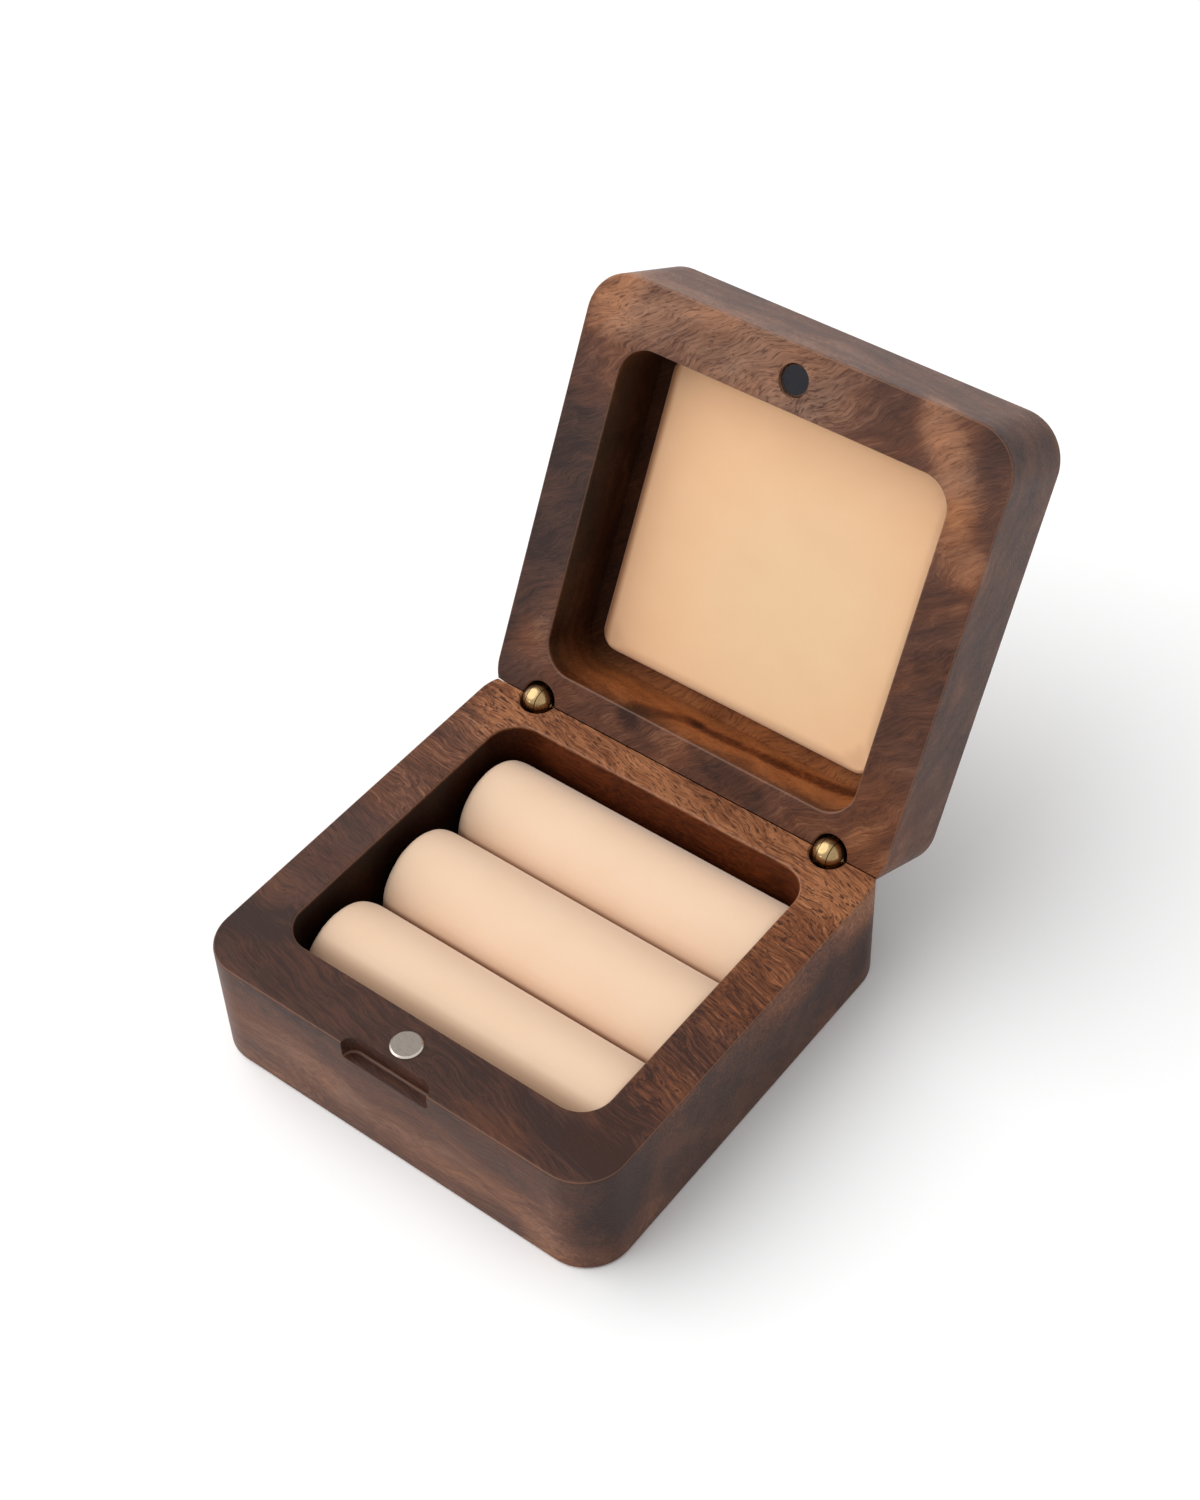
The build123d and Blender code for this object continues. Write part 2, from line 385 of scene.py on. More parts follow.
# Noise values between which a pore opens, how dark pores are, and how far they show on the sides,
# which lie below the first of two values of how upright a face is
PORE_EDGE = (0.56, 0.68)
PORE_DEPTH = 0.85
SIDE_PORES = 0.45
SIDE_EDGE = (0.55, 0.9)

# Slants between which a rounded edge gets a painted highlight, how strong it is, and where it
# starts in front of the hinge line
HIGHLIGHT_SLANTS = (0.25, 0.9)
HIGHLIGHT_STRENGTH = 0.3
HIGHLIGHT_FROM = (-0.1, -0.6)

# The hollow's tint, a darker and warmer colour of the wood there that is partly painted shade of
# the recess, fades between these distances outside the insert board's outline. It comes in between
# the first two depths below the rim and ends between the last two. Painted shade makes it darkest
# at the hollow's left, and this clears over this width. All but the strength of that painted shade
# is in millimetres.
HOLLOW_EDGE = (0.8, 1.6)
HOLLOW_TOP = (0.25, 0.6)
HOLLOW_END = (11.0, 12.5)
# Width over which the painted shade on the hollow's left walls clears, and its strength
LEFT_SHADE_WIDTH = (-0.2, 8.0)
LEFT_SHADE = 0.36

# Bands of the figure. Each runs from one point to another and gives its reach, and then how much
# paler, redder and more flecked the wood is there. Points are x, y and z from the hinge line as in
# the shut box, in millimetres.
BASE_BANDS = (
    ((-22, -2, 0), (31, -2, 0), 12, 0.19, 0.90, 0.60),
    ((29, -6, 0), (28, -22, 0), 11, 0.04, 0.75, 0.85),
    ((28, -27, 0), (28, -42, 0), 9, -0.14, 0.35, 0.75),
    ((-28, -3, 0), (-28, -20, 0), 11, 0.02, 0.22, 0.55),
    ((-28, -32, 0), (-28, -48, 0), 10, -0.10, -0.15, 0.0),
    ((-30, -55, 0), (30, -55, 0), 12, -0.22, 0.14, -0.35),
    ((26, -50, 0), (30, -54, -10), 9, -0.09, 0.10, -0.2),
    ((-28, -58, -7), (14, -58, -11), 8, 0.12, 0.05, -0.3),
    ((22, -58, -14), (24, -58, -17), 6, 0.16, 0.15, 0.0),
    ((31, -52, -9), (31, -3, -10), 9, -0.19, 0.12, -0.2),
    ((31, -14, -2), (31, -4, -10), 6, -0.10, 0.55, 0.1),
)
LID_BANDS = (
    ((-28, -57, 0), (-27, -44, 0), 6, 0.18, 0.25, 0.15),
    ((-23, -55, 0), (2, -54, 0), 9, 0.26, -0.12, 0.40),
    ((4, -51, 0), (13, -58, 0), 6, -0.04, -0.10, 0.1),
    ((20, -57, 0), (25, -49, 0), 5, 0.30, 0.20, 0.1),
    ((29, -58, 0), (28, -50, 0), 5, -0.12, -0.10, 0.0),
    ((26, -45, 0), (29, -42, 0), 5, 0.14, 0.40, 0.0),
    ((28, -37, 0), (28, -18, 0), 9, -0.09, 0.05, 0.0),
    ((28, -8, 0), (28, 0, 0), 7, 0.00, 0.45, 0.1),
    ((-29, -42, 0), (-28, -24, 0), 10, -0.21, -0.35, 0.0),
    ((-26, -22, 0), (-26, -10, 0), 3, 0.04, -0.15, 0.1),
    ((-30, -20, 0), (-29, -3, 0), 7, -0.16, -0.15, 0.0),
    ((-27, -8, 0), (-27, -6, 0), 4, 0.10, 0.40, 0.0),
    ((-20, -3, 0), (20, -3, 0), 5, -0.03, 0.10, 0.1),
    ((3, -4, 0), (11, -2, 0), 3, -0.20, -0.10, 0.0),
    ((-24, -4, 6), (24, -4, 6), 8, 0.32, 0.40, 0.35),
    ((-24, -4, 11), (24, -4, 11), 5, 0.12, 0.0, 0.0),
    ((-10, -4, 1), (-4, -4, 6), 3, -0.40, 0.10, 0.3),
    ((-3, -4, 5), (24, -4, 9), 2, -0.40, 0.10, 0.3),
    ((31, -58, 6), (31, -20, 9), 8, -0.07, -0.15, 0.0),
)


# How the grain of a block turns with its block and leans from X, how far it curls, how strongly its
# rings show, how strongly its lines show at the least fleck and at the most, and its bands
Figure = namedtuple("Figure", "turn lean curl ring_gain line_gain bands")
BASE_FIGURE = Figure(0.0, math.radians(14), (7, 6, 5), 0.015, (0.40, 1.25), BASE_BANDS)
LID_FIGURE = Figure(OPEN_ANGLE, math.radians(42), (6, 6, 5), 0.045, (0.3, 1.0), LID_BANDS)


def figured(wiring, board, look, figure):
    """The planed wood's colour, how flecked it is, its fibres and its pores."""
    drift = wiring.vector("SUBTRACT", wiring.noise(board, CURLS, colour=True), (0.5, 0.5, 0.5))
    wavy = wiring.vector("MULTIPLY_ADD", drift, figure.curl, board)
    grain = wiring.add("ShaderNodeMapping", {
        "Vector": wavy, "Rotation": (0, 0, figure.lean)}).outputs[0]

    rings = wiring.vector("DISTANCE", wiring.vector("MULTIPLY", grain, RING_FORM), RING_CENTRE)
    wander = wiring.swing(wiring.noise(board, RING_WAVES, detail=3.0), RING_WANDER)
    rings = wiring.math("ADD", rings, wander)
    rings = wiring.math("SINE", wiring.math("MULTIPLY", rings, 2 * math.pi / look.ring_spacing))
    rings = wiring.math("MULTIPLY", rings, figure.ring_gain)
    patches = wiring.swing(wiring.noise(grain, PATCHES, detail=3.0, roughness=0.6), PATCH_SWING)
    blushes = wiring.swing(wiring.noise(grain, BLUSHES), BLUSH_SWING)
    streaks = wiring.swing(wiring.noise(grain, STREAKS, detail=3.0, roughness=0.6), STREAK_SWING)
    fibre = wiring.noise(grain, FIBRES, roughness=0.7)

    tone = wiring.math("ADD", wiring.math("ADD", rings, patches), TONE)
    warmth = wiring.math("ADD", blushes, WARMTH)
    flecked = FLECKS
    spot = wiring.vector("MULTIPLY_ADD", drift, BAND_DRIFT, board)
    for start, end, reach, *gains in figure.bands:
        near = wiring.nearness(spot, start, end, reach)
        tone, warmth, flecked = (
            wiring.math("MULTIPLY_ADD", near, gain, total)
            for gain, total in zip(gains, (tone, warmth, flecked)))
    lines = wiring.math("ADD", streaks, wiring.swing(fibre, FIBRE_SWING))
    lines = wiring.math("MULTIPLY", lines, wiring.span(flecked, *FLECK_RANGE, *figure.line_gain))
    tone = wiring.math("ADD", tone, lines)
    cool = wiring.ramp(tone, zip(COOL_TONES, (look.dark, look.brown, look.grey)))
    warm = wiring.ramp(tone, zip(WARM_TONES, (look.deep_red, look.red, look.amber)))
    colour = wiring.mix(wiring.clamped(warmth), cool, warm)

    pores = wiring.noise(grain, PORES, detail=1.0, roughness=0.4, distortion=0.3)
    return colour, flecked, fibre, wiring.span(pores, *PORE_EDGE, smooth=True)


def hollow_tint_and_shade(wiring, board, colour, tint):
    """The colour, tinted on the walls of the hollow, partly as painted shade, and darker towards
    its left as painted shade.
    """
    places = wiring.parts(board)
    low, high = ((corner - HINGE_LINE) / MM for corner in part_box("insert_board"))
    inner, outer = HOLLOW_EDGE
    inside = 1.0
    for axis in (0, 1):
        middle, half = (low[axis] + high[axis]) / 2, (high[axis] - low[axis]) / 2
        off_middle = wiring.math("SUBTRACT", places[axis], middle)
        between = wiring.span(wiring.math("ABSOLUTE", off_middle), half + outer, half + inner)
        inside = wiring.math("MULTIPLY", inside, between)
    depth = wiring.math("ABSOLUTE", places[2])
    inside = wiring.math("MULTIPLY", inside, wiring.span(depth, *HOLLOW_TOP))
    inside = wiring.math("MULTIPLY", inside, wiring.span(depth, *HOLLOW_END, 1.0, 0.0))
    # Painted shade on the hollow's left walls, which face away from the lamp
    left_shade = wiring.span(places[0], *(low[0] + step for step in LEFT_SHADE_WIDTH), LEFT_SHADE, 1.0)
    return wiring.mix(inside, colour, wiring.mix(1.0, tint, left_shade, "MULTIPLY"), "MULTIPLY")


def edge_highlight(wiring, board, upright):
    """How strongly the rounded edges in front of the hinges get a painted highlight. Flat faces get
    none.
    """
    squared = wiring.math("MULTIPLY", upright, upright)
    slant = wiring.math("SUBTRACT", 4.0, wiring.math("MULTIPLY", squared, 4.0))
    edge = wiring.span(wiring.math("MULTIPLY", squared, slant), *HIGHLIGHT_SLANTS, 0.0, HIGHLIGHT_STRENGTH)
    return wiring.math("MULTIPLY", edge, wiring.span(wiring.parts(board)[1], *HIGHLIGHT_FROM))


def walnut(name, look, figure, tint):
    """Oiled walnut with curling grain, bands and open pores, a painted highlight on its rounded
    edges, and a darker tint with painted shade in its hollow.
    """
    material, wiring, shader = new_material(name, Specular_IOR_Level=0.16)
    board = in_millimetres(wiring, figure.turn, HINGE_LINE)
    upright = facing(wiring, (0, math.sin(figure.turn), math.cos(figure.turn)))
    colour, flecked, fibre, pores = figured(wiring, board, look, figure)
    on_rim = wiring.span(upright, *SIDE_EDGE, SIDE_PORES, 1.0, smooth=True)
    shown = wiring.math("MULTIPLY", pores, wiring.math("MULTIPLY", flecked, on_rim, clamp=True))
    colour = wiring.mix(wiring.math("MULTIPLY", shown, PORE_DEPTH), colour, look.deep_red)
    # Painted shade: the hollow's walls are tinted darker and warmer, darkest at the left
    colour = hollow_tint_and_shade(wiring, board, colour, tint)
    # Painted highlight: the rounded edges are lightened towards the pale grain colour
    colour = wiring.mix(edge_highlight(wiring, board, upright), colour, look.grey)
    relief = wiring.math("SUBTRACT", wiring.math("MULTIPLY", fibre, 0.25), pores)
    rough = wiring.span(fibre, *NOISE_RANGE, look.roughness - 0.06, look.roughness + 0.10)
    coat(wiring, shader, colour, relief, strength=0.35, depth=0.05, roughness=rough)
    return material


class RINGBOX_OT_wood(bpy.types.Operator):
    """Dress the base block and the lid block in walnut"""
    bl_idname = "ringbox.wood"
    bl_label = "Walnut Blocks"

    def execute(self, context):
        look = context.scene.ring_box_wood
        dress("base_block", walnut("walnut_base", look, BASE_FIGURE, look.base_hollow_tint_and_shade))
        dress("lid_block", walnut("walnut_lid", look, LID_FIGURE, look.lid_hollow_tint_and_shade))
        return {"FINISHED"}


# Brass and nickel

# Sizes of spots and scratches along X, Y and Z, in millimetres
TARNISH = (1.1, 1.1, 1.1)
TURNING_MARKS = (0.6, 0.04, 0.6)
WEAR = (0.9, 0.5, 0.9)
PLATING_SCRATCHES = (1.4, 0.03, 0.3)

# Noise values between which tarnish and wear come in, how far, and what they leave of a colour
TARNISH_EDGE, TARNISH_SHARE, TARNISHED = (0.45, 0.75), 0.55, (0.55, 0.55, 0.55)
WEAR_EDGE, WEAR_SHARE, WORN = (0.5, 0.75), 0.6, (0.72, 0.72, 0.72)

# How squarely a magnet's surface faces along its axis, from its rim, which is painted brighter as a
# highlight, to its face
FACE_EDGE = (0.8, 0.97)


def brass(look):
    """Turned brass with faint tarnish."""
    material, wiring, shader = new_material("turned_brass", Metallic=1.0)
    place = in_millimetres(wiring)
    tarnish = wiring.noise(place, TARNISH, detail=3.0, roughness=0.6)
    dulled = wiring.span(tarnish, *TARNISH_EDGE, 0.0, TARNISH_SHARE)
    colour = wiring.mix(dulled, look.brass, shaded(look.brass, TARNISHED))
    marks = wiring.noise(place, TURNING_MARKS, detail=1.0)
    rough = wiring.span(tarnish, *NOISE_RANGE, look.roughness - 0.06, look.roughness + 0.12)
    coat(wiring, shader, colour, marks, strength=0.2, depth=0.02, roughness=rough)
    return material


def nickel(name, plating, rim, axis):
    """Satin nickel plating with a fine scratch here and there, and a brighter edge that is a
    painted highlight.
    """
    material, wiring, shader = new_material(name, Metallic=1.0)
    place = in_millimetres(wiring)
    wear = wiring.noise(place, WEAR, detail=3.0)
    worn = wiring.span(wear, *WEAR_EDGE, 0.0, WEAR_SHARE)
    face = wiring.mix(worn, plating, shaded(plating, WORN))
    # Painted highlight on the rim
    colour = wiring.mix(wiring.span(facing(wiring, axis), *FACE_EDGE), rim, face)
    scratches = wiring.noise(place, PLATING_SCRATCHES, detail=1.0)
    rough = wiring.span(wear, *NOISE_RANGE, 0.26, 0.42)
    coat(wiring, shader, colour, scratches, strength=0.12, depth=0.01, roughness=rough)
    return material


class RINGBOX_OT_hinges(bpy.types.Operator):
    """Dress both barrel hinges in turned brass"""
    bl_idname = "ringbox.hinges"
    bl_label = "Brass Hinges"

    def execute(self, context):
        material = brass(context.scene.ring_box_metal)
        for side in SIDES:
            for part in ("fork", "tongue", "pin"):
                dress(f"hinge_{side}_{part}", material)
        return {"FINISHED"}


class RINGBOX_OT_magnets(bpy.types.Operator):
    """Dress both magnets in nickel plating"""
    bl_idname = "ringbox.magnets"
    bl_label = "Magnets"

    def execute(self, context):
        look = context.scene.ring_box_metal
        along = (0, math.sin(OPEN_ANGLE), math.cos(OPEN_ANGLE))
        dress("base_magnet", nickel("bright_nickel", look.nickel, look.rim, (0, 0, 1)))
        # The lid magnet's darker plating is painted shade
        dress("lid_magnet", nickel("shaded_nickel", look.shaded_nickel, look.rim, along))
        return {"FINISHED"}


# Card

# Size of its pulp's clumps in millimetres, and their colours
PULP = (0.5, 0.5, 0.5)
DARK_CARD = (0.30, 0.27, 0.23, 1)
PALE_CARD = (0.48, 0.44, 0.38, 1)


def card():
    """Grey card with a mottled pulp."""
    material, wiring, shader = new_material("grey_card", Roughness=0.85)
    pulp = wiring.noise(in_millimetres(wiring), PULP, detail=4.0, roughness=0.7)
    coat(wiring, shader, wiring.mix(pulp, DARK_CARD, PALE_CARD), pulp, strength=0.3, depth=0.05)
    return material


class RINGBOX_OT_boards(bpy.types.Operator):
    """Dress the boards under the rolls and behind the liner in card"""
    bl_idname = "ringbox.boards"
    bl_label = "Boards"

    def execute(self, context):
        material = card()
        for node in ("insert_board", "liner_board"):
            dress(node, material)
        return {"FINISHED"}


# Microfibre

# Sizes of the nap and of its cloudy shades along X, Y and Z, in millimetres
NAP = (0.16, 0.11, 0.11)
CLOUDS = (7.0, 5.0, 5.0)

# Noise values between which the nap turns from deep to pale, and what deep nap leaves of a colour
SHADE_EDGE = (0.35, 0.68)
DEEP_NAP = (0.97, 0.945, 0.92)

# Where the painted shade and light fade, in millimetres from the hinge line as in the shut box:
# heights of the shade in the rolls' grooves, depths of the front wall's shadow, distances from the
# liner's painted paler middle, and the shade at its left edge
GROOVE_HEIGHTS = (-8.4, -7.2)
FRONT_WALL_SHADOW = (-47.6, -45.4)
LINER_MIDDLE = (5, -24, 9)
MIDDLE_REACH = (4.0, 30.0)
LINER_LEFT_SHADE = (-21.2, -19.9)


def microfibre(name, main, turn, *painted_tints):
    """Short napped microfibre with a soft sheen. Each painted tint of light or shade comes with a
    function for its place.
    """
    material, wiring, shader = new_material(
        name, Sheen_Weight=0.25, Sheen_Roughness=0.5, Roughness=0.9, Specular_IOR_Level=0.2)
    place = in_millimetres(wiring, turn, HINGE_LINE)
    nap = wiring.noise(place, NAP, roughness=0.6)
    shade = wiring.math("MULTIPLY", wiring.math("ADD", nap, wiring.noise(place, CLOUDS)), 0.5)
    colour = wiring.mix(wiring.span(shade, *SHADE_EDGE, 1.0, 0.0), main, shaded(main, DEEP_NAP))
    for where, tint in painted_tints:
        colour = wiring.mix(where(wiring, place), colour, tint, "MULTIPLY")
    coat(wiring, shader, colour, nap, strength=0.25, depth=0.05)
    return material


def groove_and_wall_shade(wiring, place):
    """Painted shade: 1 deep between the rolls, half as strong in the front wall's shadow, 0 on the
    crowns.
    """
    _, depth, height = wiring.parts(place)
    deep = wiring.span(height, *GROOVE_HEIGHTS, 1.0, 0.0, smooth=True)
    return wiring.math("MAXIMUM", deep, wiring.span(depth, *FRONT_WALL_SHADOW, 0.5, 0.0, smooth=True))


def middle_painted_light(wiring, place):
    """Painted light: 1 in the middle of the liner, where it is tinted paler, 0 near its borders,
    which stay warmer.
    """
    away = wiring.vector("DISTANCE", place, LINER_MIDDLE)
    return wiring.span(away, *MIDDLE_REACH, 1.0, 0.0, smooth=True)


def left_edge_shade(wiring, place):
    """Painted shade: strong at the liner's left edge, 0 a little away from it."""
    return wiring.span(wiring.parts(place)[0], *LINER_LEFT_SHADE, 0.8, 0.0, smooth=True)


# Points of each rounded corner, and how near points must lie to be joined, in the tree and after it
CORNER_POINTS = 32
WELD = 0.02 * MM
SEAM = 0.005 * MM


def cover_tree():
    """Geometry Nodes for a drawn cover: a round-cornered outline carried along X, with round ends.

    Width lies along Y and Height along Z. First Share is the first end's part of the length.
    """
    tree = bpy.data.node_groups.new("Drawn Cover", "GeometryNodeTree")
    tree.is_modifier = True
    for name, kind, value in (
            ("Length", "NodeSocketFloat", 0.0469), ("Width", "NodeSocketFloat", 0.015),
            ("Height", "NodeSocketFloat", 0.0112), ("Upper Corner", "NodeSocketFloat", 0.0075),
            ("Lower Corner", "NodeSocketFloat", 0.0003), ("First End", "NodeSocketFloat", 0.0016),
            ("Last End", "NodeSocketFloat", 0.001), ("First Share", "NodeSocketFloat", 0.5),
            ("Centre", "NodeSocketVector", (0, 0, 0)), ("Faces Along", "NodeSocketInt", 160),
            ("Faces Around", "NodeSocketInt", 96), ("Material", "NodeSocketMaterial", None)):
        socket = tree.interface.new_socket(name, in_out="INPUT", socket_type=kind)
        if value is not None:
            socket.default_value = value
    tree.interface.new_socket("Cover", in_out="OUTPUT", socket_type="NodeSocketGeometry")
    wiring = Wiring(tree)
    given = wiring.add("NodeGroupInput").outputs
    length, half_width = given["Length"], wiring.math("MULTIPLY", given["Width"], 0.5)

    # The outline lies in XY while it is drawn: X is the cover's width and Y its height
    outline = wiring.add("GeometryNodeCurvePrimitiveQuadrilateral", {
        "Width": given["Width"], "Height": given["Height"]})
    corner = wiring.parts(wiring.add("GeometryNodeInputPosition").outputs[0])[1]
    is_upper = wiring.math("GREATER_THAN", corner, 0.0)
    corner_radius = wiring.span(is_upper, 0.0, 1.0, given["Lower Corner"], given["Upper Corner"])
    rounded = wiring.add("GeometryNodeFilletCurve", {
        "Curve": outline.outputs[0], "Count": CORNER_POINTS, "Radius": corner_radius,
        "Limit Radius": True}, mode="POLY")

    # A grid is bent into the cover: X runs from -1 at the first end to 1 at the last, Y once round
    grid = wiring.add("GeometryNodeMeshGrid", {
        "Size X": 2.0, "Size Y": 1.0,
        "Vertices X": given["Faces Along"], "Vertices Y": given["Faces Around"]})
    where = wiring.parts(wiring.add("GeometryNodeInputPosition").outputs[0])
    around = wiring.math("ADD", where[1], 0.5)
    outward = wiring.math("ABSOLUTE", where[0])
    side = wiring.math("SIGN", where[0])
    end = wiring.span(side, -1.0, 1.0, given["First End"], given["Last End"])
    last_share = wiring.math("SUBTRACT", 1.0, given["First Share"])
    share = wiring.span(side, -1.0, 1.0, given["First Share"], last_share)

    # From the split outwards: straight, then the quarter round of the end, then the end's face
    straight = wiring.math("SUBTRACT", wiring.math("MULTIPLY", length, share), end)
    bend = wiring.math("MULTIPLY", end, QUARTER_TURN)
    whole = wiring.math("ADD", wiring.math("ADD", straight, bend), half_width)
    travel = wiring.math("MULTIPLY", outward, whole)
    bent = wiring.math("SUBTRACT", travel, straight)
    angle = wiring.span(bent, 0.0, bend, 0.0, QUARTER_TURN)
    closed = wiring.span(wiring.math("SUBTRACT", bent, bend), 0.0, half_width)
    reach = wiring.math("ADD", wiring.math("MINIMUM", travel, straight),
                        wiring.math("MULTIPLY", end, wiring.math("SINE", angle)))
    inset = wiring.math("MULTIPLY", end, wiring.math("SUBTRACT", 1.0, wiring.math("COSINE", angle)))
    split = wiring.math("MULTIPLY", length, wiring.math("SUBTRACT", given["First Share"], 0.5))

    sample = wiring.add("GeometryNodeSampleCurve", {"Curves": rounded.outputs[0], "Factor": around},
                        mode="FACTOR")
    point = wiring.parts(sample.outputs["Position"])
    tangent = wiring.parts(sample.outputs["Tangent"])
    across = wiring.math("SUBTRACT", point[0], wiring.math("MULTIPLY", tangent[1], inset))
    raised = wiring.math("ADD", point[1], wiring.math("MULTIPLY", tangent[0], inset))
    kept = wiring.math("SUBTRACT", 1.0, closed)
    place = wiring.add("ShaderNodeCombineXYZ", {
        "X": wiring.math("MULTIPLY_ADD", side, reach, split),
        "Y": wiring.math("MULTIPLY", across, kept),
        "Z": wiring.math("MULTIPLY", raised, kept)}).outputs[0]
    moved = wiring.add("GeometryNodeSetPosition", {
        "Geometry": grid.outputs[0], "Position": wiring.vector("ADD", place, given["Centre"])})
    merged = wiring.add("GeometryNodeMergeByDistance", {
        "Geometry": moved.outputs[0], "Distance": WELD})
    whole_cover = wiring.add("GeometryNodeRealizeInstances", {0: merged.outputs[0]})
    covered = wiring.add("GeometryNodeSetMaterial", {
        "Geometry": whole_cover.outputs[0], "Material": given["Material"]})
    out = wiring.add("NodeGroupOutput")
    wiring.feed(out.inputs[0], covered.outputs[0])
    return tree


def grown(name, values):
    """A piece with the plain mesh that the drawn cover's tree makes from the named values."""
    tree = bpy.data.node_groups.get("Drawn Cover") or cover_tree()
    seed = bpy.data.meshes.new(name + "_seed")
    host = bpy.data.objects.new(name, seed)
    bpy.context.scene.collection.objects.link(host)
    modifier = host.modifiers.new("form", "NODES")
    modifier.node_group = tree
    for item in tree.interface.items_tree:
        if item.in_out == "INPUT" and item.name in values:
            modifier[item.identifier] = values[item.name]
    bpy.context.view_layer.update()
    seen = host.evaluated_get(bpy.context.evaluated_depsgraph_get())
    mesh = bpy.data.meshes.new_from_object(seen)
    host.modifiers.remove(modifier)
    host.data = mesh
    bpy.data.meshes.remove(seed)
    face_outwards(mesh)
    return host


def face_outwards(mesh):
    """Joins a mesh's seams and turns its faces outwards."""
    work = bmesh.new()
    work.from_mesh(mesh)
    bmesh.ops.remove_doubles(work, verts=work.verts, dist=SEAM)
    bmesh.ops.recalc_face_normals(work, faces=work.faces)
    work.to_mesh(mesh)
    work.free()
    mesh.shade_smooth()


def points_of(mesh):
    flat = np.empty(len(mesh.vertices) * 3)
    mesh.vertices.foreach_get("co", flat)
    return flat.reshape(-1, 3)


def set_points(mesh, points):
    mesh.vertices.foreach_set("co", points.ravel())
    mesh.update()


def freeze(piece):
    """Applies a piece's modifiers to its mesh."""
    seen = piece.evaluated_get(bpy.context.evaluated_depsgraph_get())
    old, piece.data = piece.data, bpy.data.meshes.new_from_object(seen)
    piece.modifiers.clear()
    bpy.data.meshes.remove(old)


# Covers are simulated this much enlarged, over this many frames and steps of each
CLOTH_SCALE = 40.0
CLOTH_FRAMES = 20
CLOTH_QUALITY = 6
SHORTEST_MOVE = 1e-9


def simulate(piece, pressure, farthest, glued_points):
    """Lets cloth swell a closed mesh. Glued points stay, and none moves farther than is given."""
    scene = bpy.context.scene
    before = points_of(piece.data)
    piece.vertex_groups.new(name="glued").add(glued_points, 1.0, "REPLACE")
    cloth = piece.modifiers.new("cloth", "CLOTH")
    cloth.settings.quality = CLOTH_QUALITY
    cloth.settings.use_pressure = True
    cloth.settings.uniform_pressure_force = pressure
    cloth.settings.effector_weights.gravity = 0
    cloth.settings.vertex_group_mass = "glued"
    cloth.point_cache.frame_start = 1
    cloth.point_cache.frame_end = CLOTH_FRAMES
    for step in range(1, CLOTH_FRAMES + 1):
        scene.frame_set(step)
    freeze(piece)
    move = points_of(piece.data) - before
    length = np.linalg.norm(move, axis=1, keepdims=True)
    kept = np.minimum(1.0, farthest / np.maximum(length, SHORTEST_MOVE))
    set_points(piece.data, before + move * kept)
    piece.vertex_groups.clear()
    scene.frame_set(1)


def swell(piece, pressure, voxel, cap, foot, floor):
    """Remeshes a closed cover and lets cloth swell it. Points at its foot are glued down."""
    set_points(piece.data, points_of(piece.data) * CLOTH_SCALE)
    remesh = piece.modifiers.new("remesh", "REMESH")
    remesh.mode = "VOXEL"
    remesh.voxel_size = voxel * CLOTH_SCALE
    bpy.context.view_layer.update()
    freeze(piece)
    near_foot = points_of(piece.data)[:, foot] < (floor + voxel) * CLOTH_SCALE
    simulate(piece, pressure, cap * CLOTH_SCALE, np.flatnonzero(near_foot).tolist())
    smooth = piece.modifiers.new("smooth", "SUBSURF")
    smooth.levels = smooth.render_levels = 1
    freeze(piece)
    set_points(piece.data, points_of(piece.data) / CLOTH_SCALE)


def within(points, low, high, radius):
    """Moves points outside an upright block with round corners onto its sides."""
    flat = points[:, :2]
    nearest = np.clip(flat, np.array(low)[:2] + radius, np.array(high)[:2] - radius)
    away = flat - nearest
    length = np.linalg.norm(away, axis=1, keepdims=True)
    points[:, :2] = nearest + away * np.minimum(1.0, radius / np.maximum(length, SHORTEST_MOVE))
    return points


# How a cover is made: the directions of its length, width and height, which of the three its foot
# is at, how far it rises beyond its CAD cover, its pressure, the values of its form, and the block
# that it must stay within
Cover = namedtuple("Cover", "axes foot rise pressure form limit")
ALONG, ACROSS, UP = range(3)


def cushion(name, stands_for, body, look, material, cover):
    """A padded cover that swells from just inside the first CAD node that it stands for."""
    foot, turn = cover.foot, np.array(cover.axes)
    spread = points_of(frame["nodes"][stands_for[0]].data) @ turn.T
    low, high = spread.min(axis=0), spread.max(axis=0)
    start, stop = low + look.shrink, high - look.shrink
    start[foot] = low[foot]
    size = stop - start
    piece = grown(name, {
        "Length": size[ALONG], "Width": size[ACROSS], "Height": size[UP],
        "Centre": tuple((start + stop) / 2), "Material": material, **cover.form})
    swell(piece, cover.pressure, look.voxel, look.shrink + cover.rise, foot, low[foot])
    points = points_of(piece.data)
    grown_low, grown_high = points.min(axis=0), points.max(axis=0)
    high[foot] += cover.rise
    points = low + (points - grown_low) * (high - low) / (grown_high - grown_low)
    if cover.limit:
        points = within(points, *cover.limit)
    set_points(piece.data, points @ turn)
    piece.data.shade_smooth()
    piece.data.materials.clear()
    piece.data.materials.append(material)
    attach(piece, body)
    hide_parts(*stands_for)


# How far the rolls may reach beyond the insert board, which stands 0.2 mm off the hollow's walls,
# and the liner's barely rounded edge at its board
ROLL_ROOM = 0.15 * MM
LINER_BACK_EDGE = 0.05 * MM


